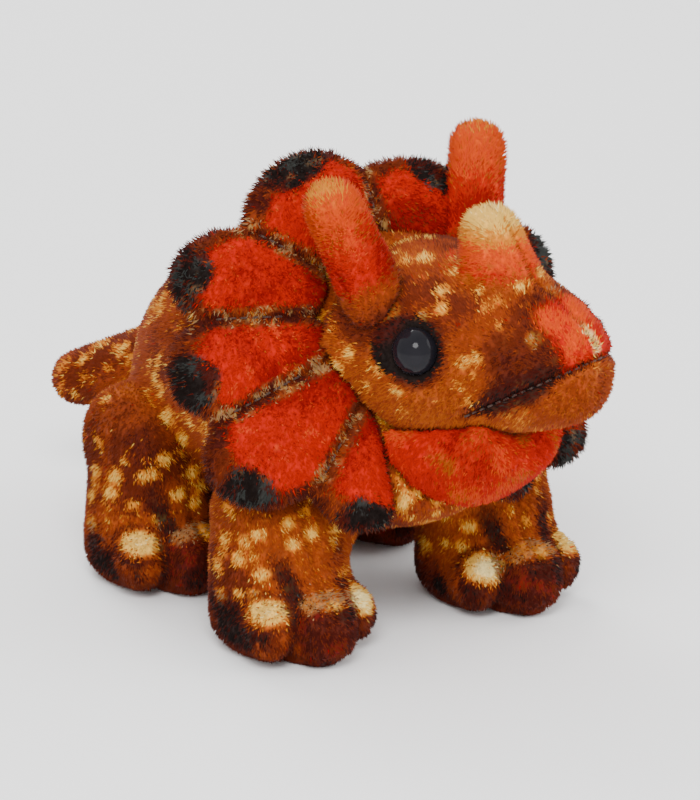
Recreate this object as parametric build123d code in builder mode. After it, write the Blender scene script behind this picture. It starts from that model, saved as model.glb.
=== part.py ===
from build123d import *
import os
from math import cos, radians, sin

# A small stuffed horned dinosaur, sewn from printed plush. It stands on z = 0 and faces -Y, so its right
# side is -X. Every bag is a closed form, and its cloth is what lies between that form and the same form
# drawn in by one thickness of plush. All sizes are in mm.

# cloth and thread
CLOTH = 1.2  # thickness of the plush backing and its packed pile
GAP = 0.35  # room between bags that move on each other
THREAD = 0.7  # diameter of the heavy topstitching thread

# body: one section every station, as (y, centre height, half width, half height)
BODY_SECTIONS = [
    (-62, 60, 22, 22),
    (-46, 59, 31, 29),
    (-22, 58, 37, 32),
    (6, 57.5, 37, 32.5),
    (30, 54.5, 33, 30),
    (46, 48, 22, 20),
    (55, 44, 12, 12),
]
BELLY_HALF_WIDTH = 12
BELLY_TOP = 38

# tail
TAIL_ROOT = Vector(0, 59, 43)
TAIL_TIP = Vector(-15, 87.55, 31)
TAIL_ROOT_RADIUS = 10.5
TAIL_TIP_RADIUS = 7

# legs: each pair as (foot y, hip y, hip height, hip radius)
LEG_PAIRS = {"front": (-32.5, -29, 33, 13), "rear": (26, 27, 35, 16)}
LEG_X = 31
LEG_INNER_X = 13.5
LEG_OUTER_X = 46
HIP_ROUND = 9  # rounding of the hip's outer edge
LEG_SECTIONS = [(0, 13.5, 15.5), (0.12, 17, 18), (0.38, 17.5, 18), (0.7, 17, 16.5)]  # (share of hip height, sizes)
HIP_HALF_WIDTH = 14
HIP_NECK = 1  # the column meets the hip this much inside its rim
TOE_RADII = {-1: 8, 0: 9.8, 1: 8}
TOE_SPACING = 10.5
TOE_REACH = 16
TOE_SIDE_SETBACK = 5
TOE_Z = 9
SWING_FLARE = 6  # how far the swing room widens on each side from the hip down to its floor
SWING_FLOOR = 12

# head: its own axis is turned to the toy's left about the upright through the neck
HEAD_TURN = 18
HEAD_BASE = Vector(2, -33, 0)
HEAD_SECTIONS = [
    (-18, 70, 24, 24),
    (0, 73, 27, 26),
    (16, 76, 26, 24.5),
    (32, 77.5, 22.5, 21),
    (45, 78.5, 17, 18),
    (54, 78, 13.5, 14.5),
    (59.5, 77.5, 9.5, 11),
    (63, 77.5, 4.5, 6),
]
NOSE_HORN_BASE = (34.5, 0, 89)
NOSE_HORN_TIP = (29, 0, 107)
NOSE_HORN_BASE_RADIUS = 12
NOSE_HORN_TIP_RADIUS = 7.5
BROW_HORN_BASE = (9, 17.5, 88)
BROW_HORN_TIP = (3, 29, 116.5)
BROW_HORN_BASE_RADIUS = 8.3
BROW_HORN_TIP_RADIUS = 6.6
MOUTH_FRONT = (70, 86.5)  # (forward, height) of the mouth line, carried past the beak
MOUTH_CORNER = (33, 65)
JAW_FLOOR = 40
EYE_AT = (23.5, 22.2, 82)
EYE_RADIUS = 6
EYE_FORWARD = 16  # degrees that each eye looks forward of square to the side
SHANK_RADIUS = 1.3
SHANK_LENGTH = 11
WASHER_RADIUS = 5.5
WASHER_THICKNESS = 1.5
WASHER_SETBACK = 5

# throat: sections from the chest up to the chin, as (forward, height, half width, half height)
THROAT_SECTIONS = [(2, 50, 24, 21), (22, 54, 21, 18), (40, 61, 15, 12)]
THROAT_TILT = 25

# frill: a padded shield that leans back. Its right half is bent rearwards; its left half hangs flat and lower.
FRILL_CENTRE = Vector(0, -35, 80)
FRILL_LEAN = 26
FRILL_BEND_RADIUS = 100
FRILL_THICKNESS = 5
FRILL_CLOTH = 1.0
# each seam as (degrees from the top, reach)
FRILL_SEAMS = {
    "left": [(0, 38), (64, 41), (94, 46), (124, 52), (147, 49), (164, 50)],
    "right": [(0, 38), (49, 45), (78, 50), (106, 52), (138, 48), (164, 50)],
}
# the reach of the scallop between each seam and the next
FRILL_LOBES = {"left": [42, 48, 60.75, 60, 55], "right": [49, 57, 58, 62, 55]}
# distance from the frill's centre where each seam's topstitching starts
STITCH_STARTS = {"left": [27, 31, 33, 33, 38], "right": [27, 37, 33, 33, 38]}
NECK_RADIUS = 21
CUTTER_DEPTH = 60  # how far the cutters reach before and behind the frill

STITCH_END = 4  # how far short of the frill's edge its topstitching ends
THREAD_LIFT = 0.6

SIDES = {"left": 1, "right": -1}

HEAD_FORWARD = Vector(sin(radians(HEAD_TURN)), -cos(radians(HEAD_TURN)), 0)
HEAD_LEFT = Vector(cos(radians(HEAD_TURN)), sin(radians(HEAD_TURN)), 0)
FRILL_UP = Vector(0, sin(radians(FRILL_LEAN)), cos(radians(FRILL_LEAN)))
FRILL_FRONT = Vector(0, -cos(radians(FRILL_LEAN)), sin(radians(FRILL_LEAN)))
FRILL_FACE = Plane(origin=FRILL_CENTRE, x_dir=(1, 0, 0), z_dir=FRILL_FRONT)
MEDIAN = Plane(origin=HEAD_BASE, z_dir=HEAD_LEFT)


def finish(part, name):
    """Label a finished piece and write it to its own file."""
    part.label = name
    export_step(part, f"parts/{name}.step")


def head_point(forward, left, height):
    """A point given along the head's own axes."""
    return HEAD_BASE + HEAD_FORWARD * forward + HEAD_LEFT * left + Vector(0, 0, height)


def ellipse_loft(sections, grow):
    """A smooth form through ellipses, each given as (plane, half width, half height)."""
    with BuildPart() as form:
        for index, (plane, half_width, half_height) in enumerate(sections):
            end = {0: -grow, len(sections) - 1: grow}.get(index, 0)
            with BuildSketch(plane.offset(end)):
                Ellipse(half_width + grow, half_height + grow)
        loft()
    return form.part


def tapered_rod(start, end, start_radius, end_radius, grow):
    """A cone between two balls, such as a horn or a tail."""
    axis = end - start
    with BuildPart() as form:
        with BuildSketch(Plane(origin=start, z_dir=axis)):
            Circle(start_radius + grow)
        with BuildSketch(Plane(origin=end, z_dir=axis)):
            Circle(end_radius + grow)
        loft()
        with Locations(start):
            Sphere(start_radius + grow)
        with Locations(end):
            Sphere(end_radius + grow)
    return form.part


def frill_slab(front, back):
    """The slab between two depths measured forward of the frill's rear face."""
    axis = Plane(origin=FRILL_CENTRE - FRILL_FRONT * FRILL_BEND_RADIUS, x_dir=(1, 0, 0), z_dir=FRILL_UP)
    wide = 4 * FRILL_BEND_RADIUS
    with BuildPart() as slab:
        with BuildSketch(axis):
            Circle(FRILL_BEND_RADIUS + front)
            Circle(FRILL_BEND_RADIUS + back, mode=Mode.SUBTRACT)
            with Locations((wide / 2, 0), (0, wide / 2)):
                Rectangle(wide, wide, mode=Mode.SUBTRACT)
            with Locations((FRILL_BEND_RADIUS / 2, -FRILL_BEND_RADIUS - (front + back) / 2)):
                Rectangle(FRILL_BEND_RADIUS, front - back)
        extrude(amount=2 * FRILL_BEND_RADIUS, both=True)
    return slab.part


def frill_polar(degrees, reach):
    """A point on the frill's face, by its angle from the top and its distance from the centre."""
    return (reach * sin(radians(degrees)), reach * cos(radians(degrees)))


def frill_outline(name, side):
    """Half of the scalloped edge, from the top seam round to the open end under the throat."""
    edges = []
    seams = FRILL_SEAMS[name]
    for (start, start_reach), (end, end_reach), lobe in zip(seams, seams[1:], FRILL_LOBES[name]):
        ends = [frill_polar(side * start, start_reach), frill_polar(side * end, end_reach)]
        edges.append((ends[0], frill_polar(side * (start + end) / 2, lobe), ends[1]))
    return edges


def frill_form(front, back, neck):
    """The horseshoe of the frill between two depths, open round the neck and under the throat."""
    with BuildPart() as form:
        add(frill_slab(front, back))
        with BuildSketch(FRILL_FACE):
            with BuildLine():
                for name, side in SIDES.items():
                    for edge in frill_outline(name, side):
                        ThreePointArc(*edge)
                last_angle, last_reach = FRILL_SEAMS["right"][-1]
                Line(*[frill_polar(side * last_angle, last_reach) for side in SIDES.values()])
            make_face()
            Circle(neck, mode=Mode.SUBTRACT)
            half_slot = frill_polar(last_angle, last_reach)[0] - NECK_RADIUS + neck
            with Locations((0, -FRILL_BEND_RADIUS / 2)):
                Rectangle(2 * half_slot, FRILL_BEND_RADIUS, mode=Mode.SUBTRACT)
        extrude(amount=CUTTER_DEPTH, both=True, mode=Mode.INTERSECT)
    return form.part


def leg_room(side, pair, grow):
    """The pocket in the body that a leg turns in, with the room below it that the leg swings through."""
    _, hip_y, hip_z, hip_radius = LEG_PAIRS[pair]
    half_top = hip_radius + GAP + grow
    half_floor = half_top + SWING_FLARE
    with BuildPart() as room:
        with BuildSketch(Plane.YZ.offset(side * (LEG_INNER_X - GAP - grow))):
            with Locations((hip_y, hip_z)):
                Circle(half_top)
            with BuildLine():
                Polyline(
                    (hip_y - half_top, hip_z),
                    (hip_y + half_top, hip_z),
                    (hip_y + half_floor, SWING_FLOOR),
                    (hip_y - half_floor, SWING_FLOOR),
                    close=True,
                )
            make_face()
        extrude(amount=side * LEG_OUTER_X)
    return room.part


def body_form(grow):
    """The trunk, with a pocket for each leg and the tail and with the frill let into it."""
    sections = [
        (Plane(origin=(0, y, z), x_dir=(1, 0, 0), z_dir=(0, 1, 0)), width, height)
        for y, z, width, height in BODY_SECTIONS
    ]
    with BuildPart() as form:
        add(ellipse_loft(sections, grow))
        add(frill_slab(CUTTER_DEPTH, FRILL_THICKNESS), mode=Mode.SUBTRACT)
        add(frill_form(FRILL_THICKNESS - grow, grow, NECK_RADIUS + grow), mode=Mode.SUBTRACT)
        for side in SIDES.values():
            for pair in LEG_PAIRS:
                add(leg_room(side, pair, -grow), mode=Mode.SUBTRACT)
        with Locations(TAIL_ROOT):
            Sphere(TAIL_ROOT_RADIUS + GAP - grow, mode=Mode.SUBTRACT)
    return form.part


def hip_form(side, pair, grow):
    """The round top of a leg, flat towards the body and rounded outside."""
    _, hip_y, hip_z, hip_radius = LEG_PAIRS[pair]
    with BuildPart() as form:
        with BuildSketch(Plane.YZ.offset(side * (LEG_INNER_X - grow))):
            with Locations((hip_y, hip_z)):
                Circle(hip_radius + grow)
        extrude(amount=side * (LEG_OUTER_X - LEG_INNER_X + 2 * grow))
        outer_edge = form.edges().filter_by(GeomType.CIRCLE).sort_by(Axis.X)[-1 if side > 0 else 0]
        fillet(outer_edge, radius=HIP_ROUND + grow)
    return form.part


def leg_form(side, pair, grow):
    """A stubby leg: a round hip, a column, and a foot with three toes on a flat sole."""
    foot_y, hip_y, hip_z, hip_radius = LEG_PAIRS[pair]
    sections = [*LEG_SECTIONS, (1, HIP_HALF_WIDTH, hip_radius - HIP_NECK)]
    with BuildPart() as form:
        for share, half_width, half_length in sections:
            with BuildSketch(Plane.XY.offset(share * hip_z)):
                with Locations((side * LEG_X, foot_y + (hip_y - foot_y) * share)):
                    Ellipse(half_width + grow, half_length + grow)
        loft()
        add(hip_form(side, pair, grow))
        for toe, toe_radius in TOE_RADII.items():
            toe_y = foot_y - TOE_REACH + abs(toe) * TOE_SIDE_SETBACK
            with Locations((side * LEG_X + toe * TOE_SPACING, toe_y, TOE_Z)):
                Sphere(toe_radius + grow)
        split(bisect_by=Plane.XY.offset(-grow), keep=Keep.TOP)
    return form.part


def head_form(grow):
    """The head with the nose horn, forward of the frill's front face."""
    sections = [
        (Plane(origin=head_point(forward, 0, z), x_dir=HEAD_LEFT, z_dir=HEAD_FORWARD), width, height)
        for forward, z, width, height in HEAD_SECTIONS
    ]
    horn = (head_point(*NOSE_HORN_BASE), head_point(*NOSE_HORN_TIP))
    with BuildPart() as form:
        add(ellipse_loft(sections, grow))
        add(tapered_rod(*horn, NOSE_HORN_BASE_RADIUS, NOSE_HORN_TIP_RADIUS, grow))
        add(frill_slab(FRILL_THICKNESS, FRILL_THICKNESS - CUTTER_DEPTH), mode=Mode.SUBTRACT)
    return form.part


def brow_horn_form(side, grow):
    """One brow horn, cut off where it is sewn to the head."""
    base = head_point(BROW_HORN_BASE[0], side * BROW_HORN_BASE[1], BROW_HORN_BASE[2])
    tip = head_point(BROW_HORN_TIP[0], side * BROW_HORN_TIP[1], BROW_HORN_TIP[2])
    with BuildPart() as form:
        add(tapered_rod(base, tip, BROW_HORN_BASE_RADIUS, BROW_HORN_TIP_RADIUS, grow))
        add(head_form(0), mode=Mode.SUBTRACT)
        add(frill_slab(FRILL_THICKNESS, FRILL_THICKNESS - CUTTER_DEPTH), mode=Mode.SUBTRACT)
    return form.part


def throat_form(grow):
    """The throat, from the chest between the frill's ends up to the chin."""
    tilt = Vector(0, 0, sin(radians(THROAT_TILT)))
    axis = HEAD_FORWARD * cos(radians(THROAT_TILT)) + tilt
    sections = [
        (Plane(origin=head_point(forward, 0, z), x_dir=HEAD_LEFT, z_dir=axis), width, height)
        for forward, z, width, height in THROAT_SECTIONS
    ]
    with BuildPart() as form:
        add(ellipse_loft(sections, grow))
        add(head_form(-grow), mode=Mode.SUBTRACT)
        rear = FRILL_THICKNESS - grow
        add(frill_slab(rear, rear - CUTTER_DEPTH), mode=Mode.SUBTRACT)
    return form.part


def jaw_room():
    """The wedge under the mouth line, which parts the jaw from the cheeks."""
    side_view = Plane(origin=HEAD_BASE, x_dir=HEAD_FORWARD, z_dir=HEAD_LEFT)
    rise = 1 if side_view.y_dir.Z > 0 else -1
    with BuildPart() as room:
        with BuildSketch(side_view):
            with BuildLine():
                Polyline(
                    (MOUTH_CORNER[0], rise * MOUTH_CORNER[1]),
                    (MOUTH_FRONT[0], rise * MOUTH_FRONT[1]),
                    (MOUTH_FRONT[0], rise * JAW_FLOOR),
                    (MOUTH_CORNER[0], rise * JAW_FLOOR),
                    close=True,
                )
            make_face()
        extrude(amount=CUTTER_DEPTH, both=True)
    return room.part


def frill_stitching_form():
    """One run of topstitching along every seam of the frill, lying on its front face."""
    with BuildPart() as form:
        add(frill_form(FRILL_THICKNESS + THREAD_LIFT, FRILL_THICKNESS, NECK_RADIUS))
        with BuildSketch(FRILL_FACE):
            for name, side in SIDES.items():
                for (degrees, reach), start in zip(FRILL_SEAMS[name], STITCH_STARTS[name]):
                    run = reach - STITCH_END - start
                    with Locations(frill_polar(side * degrees, start + run / 2)):
                        Rectangle(THREAD, run, rotation=-side * degrees)
        extrude(amount=CUTTER_DEPTH, both=True, mode=Mode.INTERSECT)
        for side in SIDES.values():
            add(brow_horn_form(side, 0), mode=Mode.SUBTRACT)
        add(head_form(0), mode=Mode.SUBTRACT)
        add(throat_form(0), mode=Mode.SUBTRACT)
    return form.part


def mouth_stitching_form():
    """The thread along the mouth line, round both sides of the beak."""
    back = head_point(MOUTH_CORNER[0], 0, MOUTH_CORNER[1])
    front = head_point(MOUTH_FRONT[0], 0, MOUTH_FRONT[1])
    mouth = Plane(origin=back, x_dir=HEAD_LEFT, z_dir=(front - back).cross(HEAD_LEFT))
    with BuildPart() as form:
        add(head_form(THREAD_LIFT))
        add(head_form(0), mode=Mode.SUBTRACT)
        with BuildSketch(mouth.offset(-THREAD / 2)):
            with Locations((0, mouth.to_local_coords(front).Y / 2)):
                Rectangle(CUTTER_DEPTH, abs(mouth.to_local_coords(front).Y))
        extrude(amount=THREAD, mode=Mode.INTERSECT)
    return form.part


def eye_axis(side):
    """The way an eye looks: out to its side and a little forward."""
    return HEAD_LEFT * (side * cos(radians(EYE_FORWARD))) + HEAD_FORWARD * sin(radians(EYE_FORWARD))


def eye_form(side, grow):
    """A domed eye with a shank that passes through the cloth."""
    seat = head_point(EYE_AT[0], side * EYE_AT[1], EYE_AT[2])
    inward = Plane(origin=seat, z_dir=eye_axis(side) * -1)
    with BuildPart() as form:
        with Locations(seat):
            Sphere(EYE_RADIUS + grow)
        split(bisect_by=Plane(origin=seat - eye_axis(side) * grow, z_dir=eye_axis(side)), keep=Keep.TOP)
        with BuildSketch(inward):
            Circle(SHANK_RADIUS + grow)
        extrude(amount=SHANK_LENGTH + grow)
    return form.part


def washer_form(side):
    """The lock washer pressed onto an eye's shank behind the cloth."""
    seat = head_point(EYE_AT[0], side * EYE_AT[1], EYE_AT[2]) - eye_axis(side) * WASHER_SETBACK
    with BuildPart() as form:
        with BuildSketch(Plane(origin=seat, z_dir=eye_axis(side) * -1)):
            Circle(WASHER_RADIUS)
            Circle(SHANK_RADIUS, mode=Mode.SUBTRACT)
        extrude(amount=WASHER_THICKNESS)
    return form.part


os.makedirs("parts", exist_ok=True)

# trunk
body_outer = body_form(0)
body_inner = body_form(-CLOTH)
with BuildPart() as belly_room:
    with Locations((0, 0, BELLY_TOP - CUTTER_DEPTH / 2)):
        Box(2 * BELLY_HALF_WIDTH, 4 * CUTTER_DEPTH, CUTTER_DEPTH)
with BuildPart() as body_cloth:
    add(body_outer)
    add(body_inner, mode=Mode.SUBTRACT)
finish(body_inner, "body_stuffing")
for name, side in SIDES.items():
    with BuildPart() as body_panel:
        add(body_cloth.part)
        add(belly_room.part, mode=Mode.SUBTRACT)
        split(bisect_by=Plane.YZ, keep=Keep.TOP if side > 0 else Keep.BOTTOM)
    finish(body_panel.part, f"body_panel_{name}")
with BuildPart() as belly_panel:
    add(body_cloth.part)
    add(belly_room.part, mode=Mode.INTERSECT)
finish(belly_panel.part, "belly_panel")

# tail
tail_outer = tapered_rod(TAIL_ROOT, TAIL_TIP, TAIL_ROOT_RADIUS, TAIL_TIP_RADIUS, 0)
tail_inner = tapered_rod(TAIL_ROOT, TAIL_TIP, TAIL_ROOT_RADIUS, TAIL_TIP_RADIUS, -CLOTH)
finish(tail_inner, "tail_stuffing")
tail_seam = Plane(origin=TAIL_ROOT, z_dir=(TAIL_TIP - TAIL_ROOT).cross(Vector(0, 0, 1)))
for name, keep in {"left": Keep.BOTTOM, "right": Keep.TOP}.items():
    with BuildPart() as tail_panel:
        add(tail_outer)
        add(tail_inner, mode=Mode.SUBTRACT)
        split(bisect_by=tail_seam, keep=keep)
    finish(tail_panel.part, f"tail_panel_{name}")

# legs
for pair in LEG_PAIRS:
    for name, side in SIDES.items():
        leg_outer = leg_form(side, pair, 0)
        leg_inner = leg_form(side, pair, -CLOTH)
        finish(leg_inner, f"{pair}_{name}_leg_stuffing")
        with BuildPart() as leg_cloth:
            add(leg_outer)
            add(leg_inner, mode=Mode.SUBTRACT)
        with BuildPart() as sole:
            add(leg_cloth.part)
            split(bisect_by=Plane.XY.offset(CLOTH), keep=Keep.BOTTOM)
        finish(sole.part, f"{pair}_{name}_sole")
        for face, keep in {"outer": Keep.TOP, "inner": Keep.BOTTOM}.items():
            with BuildPart() as leg_panel:
                add(leg_cloth.part)
                split(bisect_by=Plane.XY.offset(CLOTH), keep=Keep.TOP)
                split(bisect_by=Plane(origin=(side * LEG_X, 0, 0), z_dir=(side, 0, 0)), keep=keep)
            finish(leg_panel.part, f"{pair}_{name}_leg_{face}_panel")

# head
head_outer = head_form(0)
head_inner = head_form(-CLOTH)
eyes = {name: eye_form(side, 0) for name, side in SIDES.items()}
washers = {name: washer_form(side) for name, side in SIDES.items()}
with BuildPart() as head_stuffing:
    add(head_inner)
    for name in SIDES:
        add(eyes[name], mode=Mode.SUBTRACT)
        add(washers[name], mode=Mode.SUBTRACT)
finish(head_stuffing.part, "head_stuffing")
with BuildPart() as head_cloth:
    add(head_outer)
    add(head_inner, mode=Mode.SUBTRACT)
    for name in SIDES:
        add(eyes[name], mode=Mode.SUBTRACT)
jaw = jaw_room()
with BuildPart() as jaw_panel:
    add(head_cloth.part)
    add(jaw, mode=Mode.INTERSECT)
finish(jaw_panel.part, "jaw_panel")
for name, side in SIDES.items():
    with BuildPart() as head_panel:
        add(head_cloth.part)
        add(jaw, mode=Mode.SUBTRACT)
        split(bisect_by=MEDIAN, keep=Keep.TOP if side > 0 else Keep.BOTTOM)
    finish(head_panel.part, f"head_panel_{name}")
    finish(eyes[name], f"eye_{name}")
    finish(washers[name], f"eye_washer_{name}")

finish(mouth_stitching_form(), "mouth_stitching")

# brow horns
for name, side in SIDES.items():
    horn_outer = brow_horn_form(side, 0)
    horn_inner = brow_horn_form(side, -CLOTH)
    with BuildPart() as horn_cloth:
        add(horn_outer)
        add(horn_inner, mode=Mode.SUBTRACT)
    finish(horn_cloth.part, f"brow_horn_cloth_{name}")
    finish(horn_inner, f"brow_horn_stuffing_{name}")

# throat
throat_outer = throat_form(0)
throat_inner = throat_form(-CLOTH)
with BuildPart() as throat_panel:
    add(throat_outer)
    add(throat_inner, mode=Mode.SUBTRACT)
finish(throat_panel.part, "throat_panel")
finish(throat_inner, "throat_stuffing")

# frill
finish(frill_form(FRILL_THICKNESS, FRILL_THICKNESS - FRILL_CLOTH, NECK_RADIUS), "frill_front_cloth")
finish(frill_form(FRILL_THICKNESS - FRILL_CLOTH, FRILL_CLOTH, NECK_RADIUS), "frill_batting")
finish(frill_form(FRILL_CLOTH, 0, NECK_RADIUS), "frill_back_cloth")
finish(frill_stitching_form(), "frill_stitching")
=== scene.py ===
import math
import bmesh
import bpy
import numpy as np
from bpy.props import FloatProperty, FloatVectorProperty, PointerProperty
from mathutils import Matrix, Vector


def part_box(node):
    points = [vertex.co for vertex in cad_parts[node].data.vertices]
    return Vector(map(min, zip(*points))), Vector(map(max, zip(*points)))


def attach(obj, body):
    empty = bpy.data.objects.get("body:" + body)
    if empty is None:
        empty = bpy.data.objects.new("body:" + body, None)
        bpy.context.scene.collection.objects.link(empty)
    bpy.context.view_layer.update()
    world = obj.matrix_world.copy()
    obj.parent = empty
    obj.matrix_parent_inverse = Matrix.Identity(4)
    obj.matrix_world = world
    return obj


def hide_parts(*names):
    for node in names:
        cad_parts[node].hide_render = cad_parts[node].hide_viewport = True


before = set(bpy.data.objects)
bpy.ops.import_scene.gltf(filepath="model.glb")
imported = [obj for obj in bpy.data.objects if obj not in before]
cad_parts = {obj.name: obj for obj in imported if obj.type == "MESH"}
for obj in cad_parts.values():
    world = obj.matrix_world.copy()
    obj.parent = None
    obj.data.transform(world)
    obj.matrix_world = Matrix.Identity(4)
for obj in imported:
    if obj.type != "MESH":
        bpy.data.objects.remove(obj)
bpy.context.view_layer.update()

bl_info = {
    "name": "Horned Plush Dinosaur",
    "version": (1, 0, 0),
    "blender": (4, 5, 0),
    "location": "View3D > Sidebar > Plush",
    "description": "Sews the covers, pile, frill and stitching of a small horned dinosaur round its frame",
    "category": "Object",
}

MM = 0.001
LEGS = ("front_left", "front_right", "rear_left", "rear_right")
SIDES = {"left": 1, "right": -1}

# The head's axes, the frill's axes and the lines that the print follows, in mm
HEAD_TURN = math.radians(18)
HEAD_BASE = np.array([2.0, -33.0, 0.0])
HEAD_FORWARD = np.array([math.sin(HEAD_TURN), -math.cos(HEAD_TURN), 0.0])
HEAD_LEFT = np.array([math.cos(HEAD_TURN), math.sin(HEAD_TURN), 0.0])
MOUTH_CORNER = (33.0, 65.0)
MOUTH_FRONT = (63.0, 82.5)
MOUTH_RISE = (MOUTH_FRONT[1] - MOUTH_CORNER[1]) / (MOUTH_FRONT[0] - MOUTH_CORNER[0])
EYE_AT = (23.5, 22.2, 82.0)
BROW_HORN_BASE = (9.0, 17.5, 88.0)
BROW_HORN_TIP = (3.0, 29.0, 116.5)
NOSE_HORN_AT = (31.5, 0.0)
FRILL_CENTRE = np.array([0.0, -35.0, 80.0])
FRILL_LEAN = math.radians(26)
FRILL_UP = np.array([0.0, math.sin(FRILL_LEAN), math.cos(FRILL_LEAN)])
FRILL_FRONT = np.array([0.0, -math.cos(FRILL_LEAN), math.sin(FRILL_LEAN)])
FRILL_BEND = 100.0
FRILL_THICKNESS = 5.0
FRILL_SEAMS = {
    1: ((0, 38), (64, 41), (94, 46), (124, 52), (147, 49), (164, 50)),
    -1: ((0, 38), (49, 45), (78, 50), (106, 52), (138, 48), (164, 50)),
}
FRILL_LOBES = {1: (42, 48, 61, 60, 55), -1: (49, 57, 58, 62, 55)}
STITCH_STARTS = {1: (27, 30, 31, 31, 36), -1: (27, 34, 31, 31, 36)}
STITCH_END = 3.0

# Places on the trunk and feet, in mm
HIP_INNER_X = 13.0
HIP_FLOOR = 30.0
NECK_LIFT = 11.0
HEEL_TO_MIDDLE = 15.5
TOE_GROOVE_X = 8.8
NAIL_X = 12.0
NAIL_INNER_Y = -17.0
NAIL_OUTER_Y = -13.0
NAIL_Z = 14.0
NAIL_SIZE = (5.4, 6.0, 3.9)

# How the covers are filled, and how the pile lies on them
CLOTH_FRAMES = 20
CLOTH_STIFFNESS = 5
MOST_TUFTS = 60000  # in one piece of pile
ROOT_DEPTH = 0.15
UPRIGHT = 0.62
SWEPT = 0.55
CURL = 0.9
SCATTER = 0.35
DYE_SCATTER = 0.7

# The stage, in metres and degrees
FLOOR_SIZE = 12
SKY_STRENGTH = 1.45
LAMP_AIM = (0, -0.01, 0.05)
LAMPS = (  # name, place, size and power
    ("key", (-0.55, -0.75, 0.95), 0.55, 14.0),
    ("fill", (0.9, -0.6, 0.6), 0.9, 5.5),
    ("rim", (0.1, 0.9, 0.9), 0.6, 7.0),
)
CAMERA_AIM = (0.0, -0.0158, 0.0528)
CAMERA_TURN = -34
CAMERA_RISE = 20
CAMERA_DISTANCE = 2.2
CAMERA_LENS = 396

# Print colours, as linear light
BLACK = (0.009, 0.005, 0.004)
MAROON = (0.055, 0.006, 0.003)
BROWN = (0.125, 0.017, 0.004)
RUST = (0.245, 0.036, 0.005)
TAN = (0.35, 0.068, 0.005)
AMBER = (0.58, 0.19, 0.014)
YELLOW = (0.74, 0.43, 0.080)
CREAM = (0.82, 0.64, 0.260)
RED = (0.24, 0.003, 0.0005)
SCARLET = (0.42, 0.008, 0.0005)
ORANGE = (0.58, 0.058, 0.002)
CORAL = (0.55, 0.045, 0.006)
DUST = (0.30, 0.16, 0.070)
SMOKE = (0.030, 0.032, 0.029)
PALETTE = (BLACK, MAROON, BROWN, RUST, TAN, AMBER, YELLOW, CREAM, RED, SCARLET, ORANGE, CORAL, DUST, SMOKE)


# Mesh tools

def deselect():
    bpy.ops.object.select_all(action="DESELECT")


def activate(piece):
    deselect()
    piece.select_set(True)
    bpy.context.view_layer.objects.active = piece


def gather(name, nodes):
    """One new object made from copies of the CAD nodes."""
    copies = []
    for node in nodes:
        copy = bpy.data.objects.new(name, bpy.data.objects[node].data.copy())
        bpy.context.scene.collection.objects.link(copy)
        copies.append(copy)
    deselect()
    for copy in copies:
        copy.select_set(True)
    piece = copies[0]
    bpy.context.view_layer.objects.active = piece
    if len(copies) > 1:
        bpy.ops.object.join()
    piece.data.materials.clear()
    bpy.ops.object.mode_set(mode="EDIT")
    bpy.ops.mesh.select_all(action="SELECT")
    bpy.ops.mesh.remove_doubles(threshold=1e-6)
    bpy.ops.object.mode_set(mode="OBJECT")
    return piece


def apply_modifier(piece, kind, **settings):
    """Add a modifier, set it and apply it."""
    activate(piece)
    modifier = piece.modifiers.new(kind.title(), kind)
    for key, value in settings.items():
        setattr(modifier, key, value)
    bpy.ops.object.modifier_apply(modifier=modifier.name)


def points_of(piece):
    """The piece's points in mm."""
    points = np.empty(len(piece.data.vertices) * 3)
    piece.data.vertices.foreach_get("co", points)
    return points.reshape(-1, 3) / MM


def normals_of(piece):
    normals = np.empty(len(piece.data.vertices) * 3)
    piece.data.vertex_normals.foreach_get("vector", normals)
    return normals.reshape(-1, 3)


def move_points(piece, points):
    piece.data.vertices.foreach_set("co", (points * MM).ravel())
    piece.data.update()


def keep_largest(piece):
    """Delete everything but the outer skin that the remesh leaves."""
    mesh = bmesh.new()
    mesh.from_mesh(piece.data)
    mesh.verts.ensure_lookup_table()
    seen = set()
    islands = []
    for vertex in mesh.verts:
        if vertex in seen:
            continue
        island = {vertex}
        queue = [vertex]
        while queue:
            for edge in queue.pop().link_edges:
                for other in edge.verts:
                    if other not in island:
                        island.add(other)
                        queue.append(other)
        seen |= island
        islands.append(island)
    islands.sort(key=len)
    for island in islands[:-1]:
        bmesh.ops.delete(mesh, geom=list(island), context="VERTS")
    mesh.to_mesh(piece.data)
    mesh.free()


def remesh(piece, voxel):
    apply_modifier(piece, "REMESH", mode="VOXEL", voxel_size=voxel * MM, adaptivity=0)
    keep_largest(piece)


def inflate(piece, cap, pressure):
    """Fill a cover by cloth simulation, with no point moving further than cap, in mm."""
    start = points_of(piece)
    activate(piece)
    modifier = piece.modifiers.new("Cloth", "CLOTH")
    cloth = modifier.settings
    cloth.quality = 4
    cloth.mass = 0.001
    cloth.tension_stiffness = CLOTH_STIFFNESS
    cloth.compression_stiffness = CLOTH_STIFFNESS
    cloth.bending_stiffness = 0.01
    cloth.use_pressure = True
    cloth.uniform_pressure_force = pressure
    cloth.effector_weights.gravity = 0
    modifier.collision_settings.use_collision = False
    scene = bpy.context.scene
    for step in range(1, CLOTH_FRAMES + 1):
        scene.frame_set(step)
    bpy.ops.object.modifier_apply(modifier=modifier.name)
    scene.frame_set(1)
    move = points_of(piece) - start
    far = np.linalg.norm(move, axis=1)
    share = np.minimum(1, cap / np.maximum(far, 1e-9))
    move_points(piece, start + move * share[:, None])
    apply_modifier(piece, "SMOOTH", factor=0.5, iterations=2)


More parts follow.
